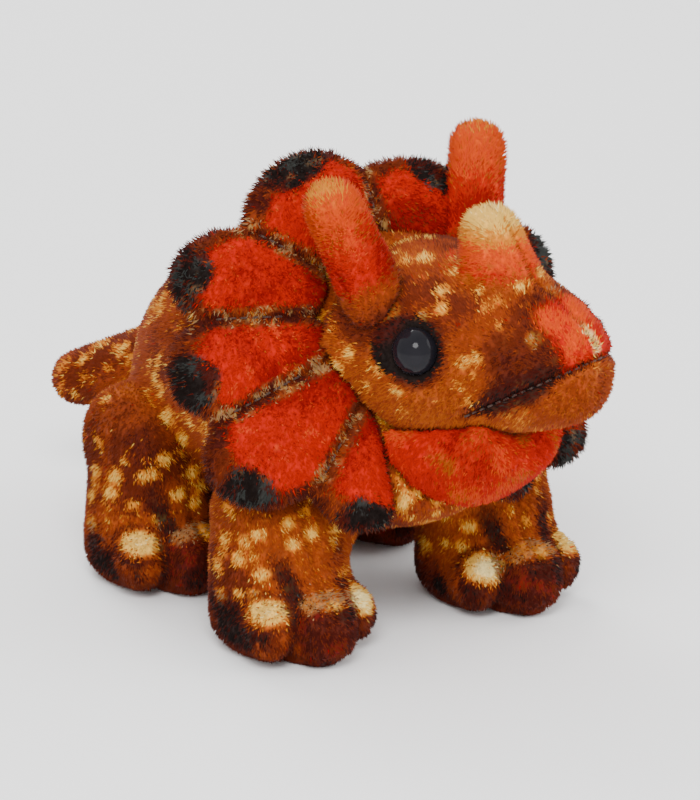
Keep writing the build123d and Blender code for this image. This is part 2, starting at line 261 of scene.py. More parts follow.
def swell(piece, voxel, cap, smoothing, levels=1, pressure=4):
    """Turn gathered CAD solids into one soft, filled cover."""
    remesh(piece, voxel)
    apply_modifier(piece, "SMOOTH", factor=0.5, iterations=smoothing)
    inflate(piece, cap, pressure)
    apply_modifier(piece, "SUBSURF", levels=levels, render_levels=levels)
    activate(piece)
    bpy.ops.object.shade_smooth()


# Fields in space, in mm

def smoothstep(value, low, high):
    share = np.clip((value - low) / (high - low), 0, 1)
    return share * share * (3 - 2 * share)


def random_at(cells, salt):
    """A steady random number from 0 to 1 for every whole-number cell."""
    cells = cells.astype(np.int64)
    mixed = cells[..., 0] * 73856093 ^ cells[..., 1] * 19349663
    mixed = mixed ^ cells[..., 2] * 83492791 ^ salt * 374761393
    mixed = (mixed ^ (mixed >> 13)) * 1274126177 & 0x7FFFFFFF
    return ((mixed ^ (mixed >> 16)) & 0xFFFF) / 65535.0


def noise(points, size, salt=0):
    """Smooth noise from 0 to 1 with lumps of the given size."""
    scaled = points / size
    cell = np.floor(scaled)
    share = scaled - cell
    share = share * share * (3 - 2 * share)
    total = np.zeros(len(points))
    for corner in range(8):
        step = np.array([corner & 1, corner >> 1 & 1, corner >> 2 & 1])
        weight = np.prod(np.where(step == 1, share, 1 - share), axis=1)
        total += weight * random_at(cell + step, salt)
    return total


def cloud(points, size, salt=0):
    """Noise at three sizes, from 0 to 1."""
    return (
        noise(points, size, salt) * 0.55
        + noise(points, size * 0.5, salt + 7) * 0.30
        + noise(points, size * 0.23, salt + 13) * 0.15
    )


def spots(points, spacing, radius, salt=0, chance=0.8):
    """How far inside the nearest spot each point is: 1 at its middle and 0 from its rim outwards."""
    scaled = points / spacing
    cell = np.floor(scaled)
    best = np.zeros(len(points))
    for step in np.ndindex(3, 3, 3):
        near = cell + np.array(step) - 1
        seed = np.stack([random_at(near, salt + axis) for axis in range(3)], axis=1)
        size = radius * (0.65 + 0.6 * random_at(near, salt + 5))
        present = random_at(near, salt + 9) < chance
        far = np.linalg.norm(near + 0.15 + 0.7 * seed - scaled, axis=1)
        best = np.maximum(best, np.where(present, np.clip(1 - far / size, 0, 1), 0))
    return best


def along_head(points):
    """Forward, left and height on the head's own axes."""
    local = points - HEAD_BASE
    return local @ HEAD_FORWARD, local @ HEAD_LEFT, points[:, 2]


def head_point(forward, left, height):
    return HEAD_BASE + HEAD_FORWARD * forward + HEAD_LEFT * left + np.array([0, 0, height])


def eye_point(side):
    """The middle of an eye."""
    forward, left, height = EYE_AT
    return head_point(forward, side * left, height)


def above_mouth(forward, height):
    """Height above the mouth line, from places on the head's own axes."""
    return height - MOUTH_CORNER[1] - MOUTH_RISE * (forward - MOUTH_CORNER[0])


def on_frill(points):
    """Angle from the top in degrees (positive to the left), reach, and depth forward of the middle surface."""
    local = points - FRILL_CENTRE
    across = local[:, 0]
    up = local @ FRILL_UP
    depth = local @ FRILL_FRONT
    bent = np.sqrt(across**2 + (depth + FRILL_BEND) ** 2) - FRILL_BEND
    depth = np.where(across < 0, bent, depth) - FRILL_THICKNESS / 2
    return np.degrees(np.arctan2(across, up)), np.hypot(across, up), depth


def frill_lines(angle, reach):
    """Distance to the nearest seam, and the rim's reach there."""
    seam = np.full(len(angle), 1e3)
    rim = np.full(len(angle), float(FRILL_SEAMS[1][-1][1]))
    for side in SIDES.values():
        turn = angle * side
        for degrees, _ in FRILL_SEAMS[side]:
            seam = np.minimum(seam, np.abs(np.radians(turn - degrees)) * reach)
        for low, low_reach, high, high_reach, lobe in frill_lobes(side):
            share = np.clip((turn - low) / (high - low), 0, 1)
            edge = low_reach + (high_reach - low_reach) * share
            bulge = (lobe - (low_reach + high_reach) / 2) * (1 - (2 * share - 1) ** 2)
            rim = np.where((turn >= low) & (turn <= high), edge + bulge, rim)
    return seam, rim


def frill_lobes(side):
    """Each lobe of one side: the seam before it and the seam after it, with their reaches, and its own reach."""
    seams = FRILL_SEAMS[side]
    return [(*low, *high, lobe) for low, high, lobe in zip(seams, seams[1:], FRILL_LOBES[side])]


# Prints: each gives a colour for every point

def blend(low, high, share):
    low = np.asarray(low, dtype=float)
    high = np.asarray(high, dtype=float)
    share = np.asarray(share, dtype=float)[..., None]
    return low * (1 - share) + high * share


def ground(points, dark=BROWN, light=RUST, salt=0):
    """The mottled rust ground that the spots are printed on."""
    colour = blend(dark, light, smoothstep(cloud(points, 16, salt), 0.30, 0.62))
    colour = blend(colour, TAN, 0.55 * smoothstep(cloud(points, 9, salt + 3), 0.55, 0.78))
    return blend(colour, MAROON, 0.6 * smoothstep(cloud(points, 12, salt + 21), 0.62, 0.80))


def print_spots(colour, amount):
    """Halo, body and heart of the yellow spots."""
    colour = blend(colour, TAN, 0.85 * smoothstep(amount, 0.0, 0.16))
    colour = blend(colour, AMBER, 0.95 * smoothstep(amount, 0.12, 0.32))
    return blend(colour, YELLOW, 0.75 * smoothstep(amount, 0.34, 0.64))


def trunk_print(points):
    colour = ground(points)
    lean = points @ np.array([[1, 0, 0], [0, 1, 0.35], [0, -0.25, 1]]).T
    wobble = (cloud(points, 11, 31)[:, None] - 0.5) * 4
    amount = spots(lean + wobble, np.array([4.6, 4.6, 9.0]), 0.48, 40, 0.92)
    colour = print_spots(colour, amount * 1.05)
    # Painted shade: the trunk darkens to brown towards its bottom, where shade falls on its underside
    painted_underside_shade = smoothstep(points[:, 2], 36, 27)
    return blend(colour, BROWN, 0.6 * painted_underside_shade)


def tail_print(points):
    colour = ground(points, salt=50)
    lean = points @ np.array([[1, 0, 0], [0, 1, 0.6], [0, -0.6, 1]]).T
    amount = spots(lean, np.array([5.2, 4.4, 8.5]), 0.48, 60, 0.9)
    return print_spots(colour, amount)


def leg_print(points, foot):
    """Foot is the middle of the sole, in mm."""
    local = points - foot
    colour = ground(points, BROWN, blend(RUST, TAN, 0.35), salt=70)
    flat = local * np.array([1, 1, 1.25])
    amount = spots(flat + 3 * cloud(points, 9, 77)[:, None], 6.4, 0.46, 80, 0.9)
    amount *= smoothstep(points[:, 2], 10, 17)
    colour = print_spots(colour, amount * 1.1)
    ahead = -local[:, 1]
    low = smoothstep(points[:, 2], 13, 6) * smoothstep(cloud(points, 7, 91), 0.2, 0.5)
    colour = blend(colour, MAROON, 0.75 * low)
    colour = blend(colour, BROWN, smoothstep(points[:, 2], 2.5, 0.8))
    streak = np.abs(np.abs(local[:, 0]) - 5.2 - 0.22 * np.clip(points[:, 2] - 12, 0, 30))
    dark = smoothstep(streak, 3.6, 1.2) * smoothstep(points[:, 2], 33, 22)
    dark *= smoothstep(points[:, 2], 5, 9)
    dark *= smoothstep(ahead, 4, 12) * smoothstep(cloud(points, 6, 95), 0.25, 0.45)
    colour = blend(colour, BLACK, 0.92 * dark)
    side_dark = smoothstep(np.abs(local[:, 0]), 13, 16.5) * smoothstep(points[:, 2], 19, 13)
    side_dark *= smoothstep(points[:, 2], 2, 5) * smoothstep(cloud(points, 7, 99), 0.42, 0.55)
    return blend(colour, BLACK, 0.92 * side_dark)


def toe_print(colour, points, foot):
    """The dark, blotched ball of the middle toe below its pale arc, with painted shade in the toe grooves."""
    local = points - foot
    front = smoothstep(-local[:, 1], 17, 20)
    arc = smoothstep(np.abs(points[:, 2] - 18.0 + 0.05 * local[:, 0] ** 2), 1.4, 0.6)
    arc = arc * smoothstep(-local[:, 1], 14, 17)
    arc *= smoothstep(np.abs(local[:, 0]), 7.5, 5.5)
    inside = smoothstep(np.abs(local[:, 0]), 9.5, 7.5) * front * smoothstep(points[:, 2], 17, 15)
    red = blend(MAROON, RED, 0.45 * smoothstep(cloud(points, 6, 241), 0.35, 0.6))
    red = blend(red, BLACK, 0.85 * smoothstep(cloud(points, 7, 243), 0.54, 0.66))
    colour = blend(colour, red, 0.9 * inside)
    # Painted shade: the toe grooves darkened to black
    painted_groove_shade = smoothstep(np.abs(np.abs(local[:, 0]) - 9.0), 1.7, 0.8) * smoothstep(-local[:, 1], 11, 14)
    colour = blend(colour, BLACK, 0.75 * painted_groove_shade * smoothstep(points[:, 2], 19, 15))
    return blend(colour, blend(DUST, AMBER, cloud(points, 3, 247)), 0.7 * arc)


def nail_print(colour, points, middle, size):
    """A pale oval nail with a tan rim."""
    far = np.linalg.norm((points - middle) / size, axis=1)
    colour = blend(colour, MAROON, 0.8 * smoothstep(far, 1.6, 1.2))
    colour = blend(colour, TAN, smoothstep(far, 1.2, 1.0))
    colour = blend(colour, YELLOW, smoothstep(far, 1.0, 0.8))
    return blend(colour, CREAM, smoothstep(far, 0.7, 0.35))


def head_print(points):
    forward, left, height = along_head(points)
    aside = np.abs(left)
    cheek = smoothstep(height, 86, 72) * smoothstep(forward, 52, 36)
    colour = ground(points, BROWN, RUST, salt=110)
    colour = blend(colour, TAN, 0.55 * cheek)
    amount = spots(points + 2 * cloud(points, 8, 117)[:, None], 6.2, 0.42, 120, 0.92)
    amount *= smoothstep(forward, 62, 50)
    colour = print_spots(colour, amount * 1.1)
    mouth = above_mouth(forward, height)
    jaw = smoothstep(mouth, 0.5, -1.5) * smoothstep(forward, 28, 36)
    colour = blend(colour, blend(RUST, TAN, smoothstep(cloud(points, 9, 131), 0.35, 0.65)), 0.7 * jaw)
    colour = blend(colour, AMBER, 0.6 * jaw * smoothstep(spots(points, 4.6, 0.5, 133), 0.1, 0.5))
    wide = 1.8 + 3.6 * smoothstep(forward, 36, 46) * smoothstep(forward, 60, 53)
    band = smoothstep(np.abs(mouth - 0.6) / wide, 1.25, 0.55)
    band = band * smoothstep(forward, 32, 38) * smoothstep(aside, 1.5, 4.0)
    colour = blend(colour, BLACK, 0.9 * band)
    upper = smoothstep(mouth, 1, 4) * smoothstep(aside, 5, 9)
    upper = upper * smoothstep(forward, 38, 47) * smoothstep(height, 93, 84)
    colour = blend(colour, MAROON, 0.75 * upper * smoothstep(cloud(points, 8, 137), 0.25, 0.45))
    line = smoothstep(np.abs(mouth), 1.1, 0.4) * smoothstep(forward, 31, 35)
    colour = blend(colour, BLACK, 0.75 * line)
    beak = smoothstep(forward, 47, 52) * smoothstep(aside, 10.5, 7.5) * smoothstep(mouth, -0.5, 2.0)
    lip = 0.7 * smoothstep(forward, 42, 46) * smoothstep(aside, 14, 10) * smoothstep(mouth, 1, 3)
    colour = blend(colour, MAROON, lip)
    colour = blend(colour, SCARLET, beak)
    colour = blend(colour, ORANGE, 0.8 * beak * smoothstep(cloud(points, 5, 141), 0.4, 0.65))
    tip = smoothstep(aside, 1.8, 0.8) * smoothstep(forward, 56, 59)
    tip = tip * smoothstep(mouth, 1, 3) * smoothstep(height, 92, 88)
    colour = blend(colour, CREAM, 0.8 * tip)
    horn_far = np.hypot(forward - NOSE_HORN_AT[0], left)
    horn = smoothstep(horn_far, 15.5, 12.5)
    colour = blend(colour, TAN, 0.6 * horn * smoothstep(height, 93, 98))
    colour = blend(colour, SCARLET, 0.7 * horn * smoothstep(height, 96, 101))
    colour = blend(colour, ORANGE, horn * smoothstep(height, 99, 104.5))
    colour = blend(colour, AMBER, horn * smoothstep(height, 104, 109.5))
    colour = blend(colour, YELLOW, 0.9 * horn * smoothstep(height, 107.5, 112.5))
    colour = blend(colour, CREAM, 0.35 * horn * smoothstep(height, 112, 114))
    colour = print_spots(colour, spots(points, 5.6, 0.45, 150) * horn * smoothstep(height, 104, 100))
    for side in SIDES.values():
        far = np.linalg.norm(points - eye_point(side), axis=1)
        behind = np.linalg.norm((points - head_point(19.5, side * 23.5, 82.5)), axis=1)
        colour = blend(colour, MAROON, 0.7 * smoothstep(far, 11, 8.5))
        colour = blend(colour, BLACK, smoothstep(np.minimum(far, behind + 0.5), 8.8, 7.4))
        root = head_point(BROW_HORN_BASE[0], side * BROW_HORN_BASE[1], BROW_HORN_BASE[2])
        colour = blend(colour, MAROON, 0.7 * smoothstep(np.linalg.norm(points - root, axis=1), 13, 9.5))
    seam = smoothstep(aside, 0.8, 0.3) * smoothstep(forward, 20, 26)
    return blend(colour, MAROON, 0.45 * seam)


def throat_print(points):
    colour = blend(RED, SCARLET, smoothstep(cloud(points, 14, 160), 0.25, 0.55))
    colour = blend(colour, ORANGE, 0.45 * smoothstep(cloud(points, 9, 163), 0.4, 0.7))
    return blend(colour, TAN, 0.5 * smoothstep(cloud(points, 6, 165), 0.55, 0.75))


def horn_print(points, side):
    base = head_point(BROW_HORN_BASE[0], side * BROW_HORN_BASE[1], BROW_HORN_BASE[2])
    tip = head_point(BROW_HORN_TIP[0], side * BROW_HORN_TIP[1], BROW_HORN_TIP[2])
    axis = tip - base
    share = (points - base) @ axis / (axis @ axis)
    share = share + 0.12 * (cloud(points, 6, 170) - 0.5) * 2
    colour = blend(MAROON, RUST, smoothstep(share, 0.0, 0.22))
    streak = smoothstep(cloud(points * np.array([1, 1, 0.35]), 4, 175), 0.4, 0.65)
    colour = blend(colour, blend(RED, SCARLET, streak), smoothstep(share, 0.16, 0.45))
    colour = blend(colour, ORANGE, 0.9 * smoothstep(share, 0.45, 1.05))
    colour = blend(colour, AMBER, 0.5 * smoothstep(share, 0.98, 1.22))
    return blend(colour, YELLOW, 0.35 * smoothstep(share, 1.16, 1.26))


def frill_print(points):
    angle, reach, depth = on_frill(points)
    seam, rim = frill_lines(angle, reach)
    wavy = 3.0 * (cloud(points, 8, 180) - 0.5)
    red = blend(RED, SCARLET, smoothstep(cloud(points, 12, 185), 0.30, 0.60))
    fleck = smoothstep(noise(points, 1.7, 190) * noise(points, 1.1, 191), 0.42, 0.62)
    red = blend(red, CORAL, 0.75 * fleck * smoothstep(cloud(points, 16, 193), 0.35, 0.6))
    red = blend(red, MAROON, 0.35 * smoothstep(reach, 33, 25))
    edge = smoothstep(rim - reach + wavy, 6.0, 3.0)
    border = np.maximum(smoothstep(seam + wavy * 0.5, 3.4, 1.4), edge)
    brown = blend(BROWN, MAROON, smoothstep(cloud(points, 5, 200), 0.4, 0.6))
    brown = blend(brown, RUST, 0.6 * smoothstep(cloud(points, 3.5, 203), 0.5, 0.7))
    colour = blend(red, brown, border)
    fuzz = smoothstep(noise(points, 1.8, 206), 0.52, 0.78) * smoothstep(seam, 3.0, 1.0)
    colour = blend(colour, blend(DUST, YELLOW, noise(points, 3, 209) * 0.7), 0.75 * fuzz)
    lobes = [(side, entry) for side in SIDES.values() for entry in frill_lobes(side)]
    for side, (low, _, high, _, lobe) in lobes:
        middle = side * math.radians((low + high) / 2 + (3 if low else 0))
        tangent = (np.radians(angle) - middle) * lobe
        radial = reach - (lobe - 2.5)
        far = np.hypot(tangent / (11.0 if low == 0 else 8.5), radial / 6.0)
        far = far + 0.55 * (cloud(points, 7, 213) - 0.5)
        dark = blend(BLACK, SMOKE, smoothstep(cloud(points, 4, 215), 0.45, 0.7))
        dark = blend(dark, MAROON, 0.8 * smoothstep(cloud(points, 4, 217), 0.52, 0.66))
        dark = blend(dark, DUST, 0.35 * smoothstep(cloud(points, 3, 219), 0.6, 0.75))
        colour = blend(colour, dark, smoothstep(far, 1.08, 0.8))
    rear = smoothstep(depth, 0.5, -0.5)
    back = print_spots(ground(points, salt=230), spots(points, 6.5, 0.45, 235, 0.85))
    back = blend(back, BLACK, 0.6 * edge)
    return blend(colour, back, rear)


# Materials

class Wire:
    """A socket that does shader maths when it is used in an expression."""

    def __init__(self, tree, socket):
        self.tree = tree
        self.socket = socket

    def math(self, operation, *values):
        return self.tree.node("ShaderNodeMath", {"operation": operation}, list(values))

    def __add__(self, other):
        return self.math("ADD", self, other)

    def __mul__(self, other):
        return self.math("MULTIPLY", self, other)

    def __sub__(self, other):
        return self.math("SUBTRACT", self, other)

    def __rsub__(self, other):
        return self.math("SUBTRACT", other, self)

    __radd__ = __add__
    __rmul__ = __mul__


class Tree:
    """A material's nodes, built by one call each."""

    def __init__(self, name):
        self.material = bpy.data.materials.new(name)
        self.material.use_nodes = True
        self.nodes = self.material.node_tree.nodes
        self.shader = self.nodes["Principled BSDF"]

    def node(self, kind, settings=None, inputs=None, output=0):
        made = self.nodes.new(kind)
        for key, value in (settings or {}).items():
            setattr(made, key, value)
        pairs = inputs.items() if isinstance(inputs, dict) else enumerate(inputs or [])
        for key, value in pairs:
            if isinstance(value, Wire):
                self.material.node_tree.links.new(value.socket, made.inputs[key])
            else:
                made.inputs[key].default_value = value
        return Wire(self, made.outputs[output])

    def ramp(self, factor, stops):
        wire = self.node("ShaderNodeValToRGB", inputs={"Fac": factor})
        elements = wire.socket.node.color_ramp.elements
        elements[0].position, elements[0].color = stops[0]
        elements[1].position, elements[1].color = stops[-1]
        for position, colour in stops[1:-1]:
            elements.new(position).color = colour
        return wire

    def mix(self, factor, low, high, mode="MIX"):
        settings = {"data_type": "RGBA", "blend_type": mode}
        wire = self.node("ShaderNodeMix", settings, {0: factor, 6: low, 7: high})
        return Wire(self, wire.socket.node.outputs[2])

    def place(self):
        return self.node("ShaderNodeTexCoord", output=3)

    def grain(self, scale, detail=3.0, stretch=(1, 1, 1)):
        at = self.node("ShaderNodeMapping", inputs={"Vector": self.place(), "Scale": stretch})
        return self.node("ShaderNodeTexNoise", inputs={"Vector": at, "Scale": scale, "Detail": detail})

    def set(self, **values):
        for key, value in values.items():
            socket = self.shader.inputs[key.replace("_", " ")]
            if isinstance(value, Wire):
                self.material.node_tree.links.new(value.socket, socket)
            else:
                socket.default_value = value
        return self.material

    def bump(self, height, distance, strength=1.0):
        return self.node("ShaderNodeBump", inputs={"Height": height, "Distance": distance, "Strength": strength})


def plush_material():
    """Printed short-pile cloth: the print with fibre streaks, nap and sheen."""
    tree = Tree("printed_plush")
    colour = tree.node("ShaderNodeAttribute", {"attribute_name": "print"})
    fibres = tree.grain(900, 4.0, (1, 1, 0.45))
    stops = [(0.25, (0.55, 0.52, 0.50, 1)), (0.55, (1, 1, 1, 1)), (0.8, (1.35, 1.3, 1.25, 1))]
    tone = tree.ramp(fibres, stops)
    return tree.set(
        Base_Color=tree.mix(1.0, colour, tone, "MULTIPLY"),
        Roughness=0.78 + 0.2 * fibres,
        Normal=tree.bump(fibres, 0.0006, 0.6),
        Sheen_Weight=0.06,
        Sheen_Roughness=0.4,
        Specular_IOR_Level=0.12,
    )


def pile_materials():
    """One material for each dye that the fibres take."""
    for index, colour in enumerate(PALETTE):
        tree = Tree(f"pile_dye_{index + 1:02d}")
        tree.set(
            Base_Color=(*colour, 1),
            Roughness=0.7,
            Sheen_Weight=0.06,
            Sheen_Roughness=0.4,
            Sheen_Tint=(*[min(1.0, 0.3 + 1.2 * value) for value in colour], 1),
            Specular_IOR_Level=0.06,
        )


def thread_material(colours):
    """Twisted polyester thread: painted shade between the strands and a painted highlight on their crowns."""
    tree = Tree("twisted_thread")
    at = tree.node("ShaderNodeMapping", inputs={"Vector": tree.place(), "Rotation": (0.6, 0.4, 0.3)})
    twist = tree.node("ShaderNodeTexWave", inputs={"Vector": at, "Scale": 1500.0, "Distortion": 1.5})
    return tree.set(
        # The twist mixes the thread's painted shade and its painted highlight
        Base_Color=tree.mix(twist, tuple(colours.thread_painted_shade), tuple(colours.thread_painted_highlight)),
        Roughness=0.45 + 0.25 * twist,
        Normal=tree.bump(twist, 0.0002, 0.5),
        Specular_IOR_Level=0.5,
    )


def eye_material(colours):
    """Polished black plastic with the faint clouding of a moulded dome."""
    tree = Tree("polished_black_eye")
    haze = tree.grain(160, 3.0)
    scuff = tree.grain(1800, 2.0)
    return tree.set(
        Base_Color=tree.mix(haze, tuple(colours.eye_dark), tuple(colours.eye_haze)),
        Roughness=0.06 + 0.06 * haze,
        Normal=tree.bump(scuff, 0.00002, 0.2),
        Specular_IOR_Level=0.13,
    )


def moulded_material(colours):
    """Natural nylon of the lock washers."""
    tree = Tree("natural_nylon")
    cloudy = tree.grain(300, 2.0)
    return tree.set(
        Base_Color=tree.mix(cloudy, tuple(colours.washer_dark), tuple(colours.washer_light)),
        Roughness=0.4 + 0.2 * cloudy,
        Normal=tree.bump(cloudy, 0.0001, 0.3),
    )


# Covers and pile

def paint(piece, colours):
    """Store the print on the cover, one colour a point."""
    layer = piece.data.color_attributes.new("print", "FLOAT_COLOR", "POINT")
    values = np.ones((len(piece.data.vertices), 4), dtype=np.float32)
    values[:, :3] = colours
    layer.data.foreach_set("color", values.ravel())
    piece.data.materials.clear()
    piece.data.materials.append(bpy.data.materials["printed_plush"])


def unit(vectors):
    return vectors / np.maximum(np.linalg.norm(vectors, axis=1, keepdims=True), 1e-9)


def lay_pile(cover, name, body, dye, length, seed, sweep=(0.0, 0.35, -1.0), share=1.0):
    """Grow short three-sided tufts from a cover.

    Length is in mm, a number or a function of the root points.
    """
    sizes = bpy.context.scene.plush_sizes
    mesh = cover.data
    mesh.calc_loop_triangles()
    corners = np.empty(len(mesh.loop_triangles) * 3, dtype=np.int32)
    mesh.loop_triangles.foreach_get("vertices", corners)
    corners = corners.reshape(-1, 3)
    points = points_of(cover)
    normals = normals_of(cover)
    a, b, c = (points[corners[:, index]] for index in range(3))
    area = np.linalg.norm(np.cross(b - a, c - a), axis=1) / 2
    total = area.cumsum()
    random = np.random.default_rng(seed)
    count = int(total[-1] * sizes.pile_density * share)
    chosen = np.searchsorted(total, random.random(count) * total[-1])
    first, second = random.random(count), random.random(count)
    flip = first + second > 1
    first, second = np.where(flip, 1 - first, first), np.where(flip, 1 - second, second)
    weights = np.stack([1 - first - second, first, second], axis=1)
    roots = np.einsum("nk,nkd->nd", weights, points[corners[chosen]])
    up = unit(np.einsum("nk,nkd->nd", weights, normals[corners[chosen]]))
    long = length(roots) if callable(length) else np.full(count, float(length))
    long = long * (0.75 + 0.5 * random.random(count))
    curl = np.stack([noise(roots, 9, seed + axis) - 0.5 for axis in range(3)], axis=1)
    flow = np.asarray(sweep, dtype=float) + CURL * curl
    flow = flow - up * np.einsum("nd,nd->n", flow, up)[:, None]
    flow = unit(flow + SCATTER * random.normal(size=(count, 3)))
    lean = unit(up * UPRIGHT + flow * SWEPT)
    side = unit(np.cross(lean, up) + 1e-6)
    other = np.cross(lean, side)
    radius = sizes.pile_radius * (0.8 + 0.4 * random.random(count))[:, None]
    base = roots - up * ROOT_DEPTH
    ring = []
    for turn in range(3):
        angle = turn * 2 * math.pi / 3
        ring.append(base + radius * (math.cos(angle) * side + math.sin(angle) * other))
    tips = roots + lean * long[:, None]
    colours = dye(roots + DYE_SCATTER * random.normal(size=(count, 3)))
    colours = colours * (0.85 + 0.3 * random.random(count))[:, None]
    palette = np.sqrt(np.array(PALETTE))
    gap = ((np.sqrt(np.clip(colours, 0, 1))[:, None, :] - palette[None]) ** 2).sum(axis=2)
    gap += 0.02 * random.random(gap.shape)
    dyes = gap.argmin(axis=1)
    soft = unit(up + 0.35 * lean)
    tufts = np.stack([*ring, tips], axis=1)
    parts = math.ceil(count / MOST_TUFTS)
    for part in range(parts):
        chosen = slice(part, None, parts)
        label = name if parts == 1 else f"{name}_{part + 1}"
        make_tufts(label, tufts[chosen], dyes[chosen], soft[chosen], body)


def make_tufts(name, tufts, dyes, soft, body):
    """One piece of pile from three root corners and a tip for every tuft, in mm."""
    count = len(tufts)
    start = np.arange(count)[:, None] * 4
    faces = np.concatenate([start + np.array(side) for side in ((0, 1, 3), (1, 2, 3), (2, 0, 3))], axis=1)
    pile = bpy.data.meshes.new(name)
    pile.vertices.add(count * 4)
    pile.vertices.foreach_set("co", (tufts * MM).ravel())
    pile.loops.add(count * 9)
    pile.loops.foreach_set("vertex_index", faces.ravel().astype(np.int32))
    pile.polygons.add(count * 3)
    pile.polygons.foreach_set("loop_start", np.arange(count * 3, dtype=np.int32) * 3)
    pile.polygons.foreach_set("material_index", np.repeat(dyes, 3).astype(np.int32))
    pile.update(calc_edges=True)
    for index in range(len(PALETTE)):
        pile.materials.append(bpy.data.materials[f"pile_dye_{index + 1:02d}"])
    pile.polygons.foreach_set("use_smooth", np.ones(count * 3, dtype=bool))
    pile.normals_split_custom_set_from_vertices(np.repeat(soft, 4, axis=0))
    piece = bpy.data.objects.new(name, pile)
    bpy.context.scene.collection.objects.link(piece)
    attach(piece, body)


def dress(piece, body, nodes, dye):
    """Print a finished cover and set it on its body in place of its CAD solids."""
    paint(piece, dye(points_of(piece)))
    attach(piece, body)
    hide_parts(*nodes)


def crease(points, normals, distance, width, depth):
    """Draw a surface in along a line, given each point's distance from it."""
    return points - normals * (depth * np.exp(-((distance / width) ** 2)))[:, None]


# Settings and operators

class PlushSizes(bpy.types.PropertyGroup):
    pile_length: FloatProperty(
        name="Pile length", description="Length of the nap, in mm", default=1.15, min=0.2)
    rim_pile_length: FloatProperty(
        name="Rim pile length", description="Length of the loose pile at tips and rims, in mm", default=1.9)
    pile_radius: FloatProperty(
        name="Tuft radius", description="Radius of a tuft at its root, in mm", default=0.26)
    pile_density: FloatProperty(
        name="Pile density", description="Tufts on a square mm", default=3.3)
    seam_depth: FloatProperty(
        name="Seam depth", description="How far a seam draws the cloth in, in mm", default=0.9)
    stitch_pitch: FloatProperty(
        name="Stitch pitch", description="Distance from stitch to stitch, in mm", default=2.5)
    thread_radius: FloatProperty(
        name="Thread radius", description="Radius of the topstitching thread, in mm", default=0.32)


def colour_property(name, description, default):
    return FloatVectorProperty(
        name=name, description=description, subtype="COLOR", size=4, default=(*default, 1.0), min=0.0, max=1.0)


class PlushColours(bpy.types.PropertyGroup):
    # Painted shade between the thread's strands, and a painted highlight on their crowns
    thread_painted_shade: colour_property("Thread hollows", "Thread between its strands", (0.02, 0.009, 0.007))
    thread_painted_highlight: colour_property("Thread crowns", "Thread on top of its strands", (0.10, 0.05, 0.035))
    eye_dark: colour_property("Eye", "Plastic of the eyes", (0.004, 0.004, 0.006))
    eye_haze: colour_property("Eye haze", "Faint clouding in the eyes", (0.012, 0.011, 0.014))
    washer_dark: colour_property("Washer", "Nylon of the lock washers", (0.70, 0.69, 0.64))
    washer_light: colour_property("Washer haze", "Pale clouding in the washers", (0.83, 0.82, 0.78))
    floor_dark: colour_property("Floor", "Floor under the toy", (0.92, 0.92, 0.92))
    floor_light: colour_property("Floor haze", "Pale clouding in the floor", (0.95, 0.95, 0.95))


class PLUSH_OT_materials(bpy.types.Operator):
    """Mix the dyes and finishes"""
    bl_idname = "plush.materials"
    bl_label = "Materials"

    def execute(self, context):
        plush_material()
        pile_materials()
        colours = context.scene.plush_colours
        thread_material(colours)
        eye_material(colours)
        moulded_material(colours)
        return {"FINISHED"}


class PLUSH_OT_trunk(bpy.types.Operator):
    """Sew and fill the trunk"""
    bl_idname = "plush.trunk"
    bl_label = "Trunk"

    def execute(self, context):
        sizes = context.scene.plush_sizes
        nodes = ("body_panel_left", "body_panel_right", "belly_panel", "body_stuffing")
        hips = [f"{leg}_leg_stuffing" for leg in LEGS]
        piece = gather("trunk_cover", [*nodes, *hips])
        points = points_of(piece)
        low = (np.abs(points[:, 0]) > HIP_INNER_X) & (points[:, 2] < HIP_FLOOR)
        points[low, 2] = HIP_FLOOR + (points[low, 2] - HIP_FLOOR) * 0.02
        move_points(piece, points)
        swell(piece, voxel=2.4, cap=0.9, smoothing=10)
        points = points_of(piece)
        normals = normals_of(piece)
        ridge = smoothstep(points[:, 2], 60, 66)
        points = crease(points, normals, points[:, 0], 1.1, sizes.seam_depth * ridge)
        neck = smoothstep(points[:, 1], -10, -20) * smoothstep(points[:, 2], 70, 82)
        neck = neck * smoothstep(np.abs(points[:, 0]), 22, 12)
        points[:, 2] += NECK_LIFT * neck
        move_points(piece, points)
        dress(piece, "trunk", nodes, trunk_print)
        lay_pile(piece, "trunk_pile", "trunk", trunk_print, sizes.pile_length,
                 seed=11, sweep=(0.0, 0.8, -0.7))
        return {"FINISHED"}


class PLUSH_OT_tail(bpy.types.Operator):
    """Sew and fill the tail"""
    bl_idname = "plush.tail"
    bl_label = "Tail"

    def execute(self, context):
        sizes = context.scene.plush_sizes
        nodes = ("tail_panel_left", "tail_panel_right", "tail_stuffing")
        piece = gather("tail_cover", nodes)
        swell(piece, voxel=1.8, cap=0.6, smoothing=6)
        dress(piece, "tail", nodes, tail_print)
        lay_pile(piece, "tail_pile", "tail", tail_print, sizes.pile_length,
                 seed=12, sweep=(0.0, 1.0, -0.4))
        return {"FINISHED"}


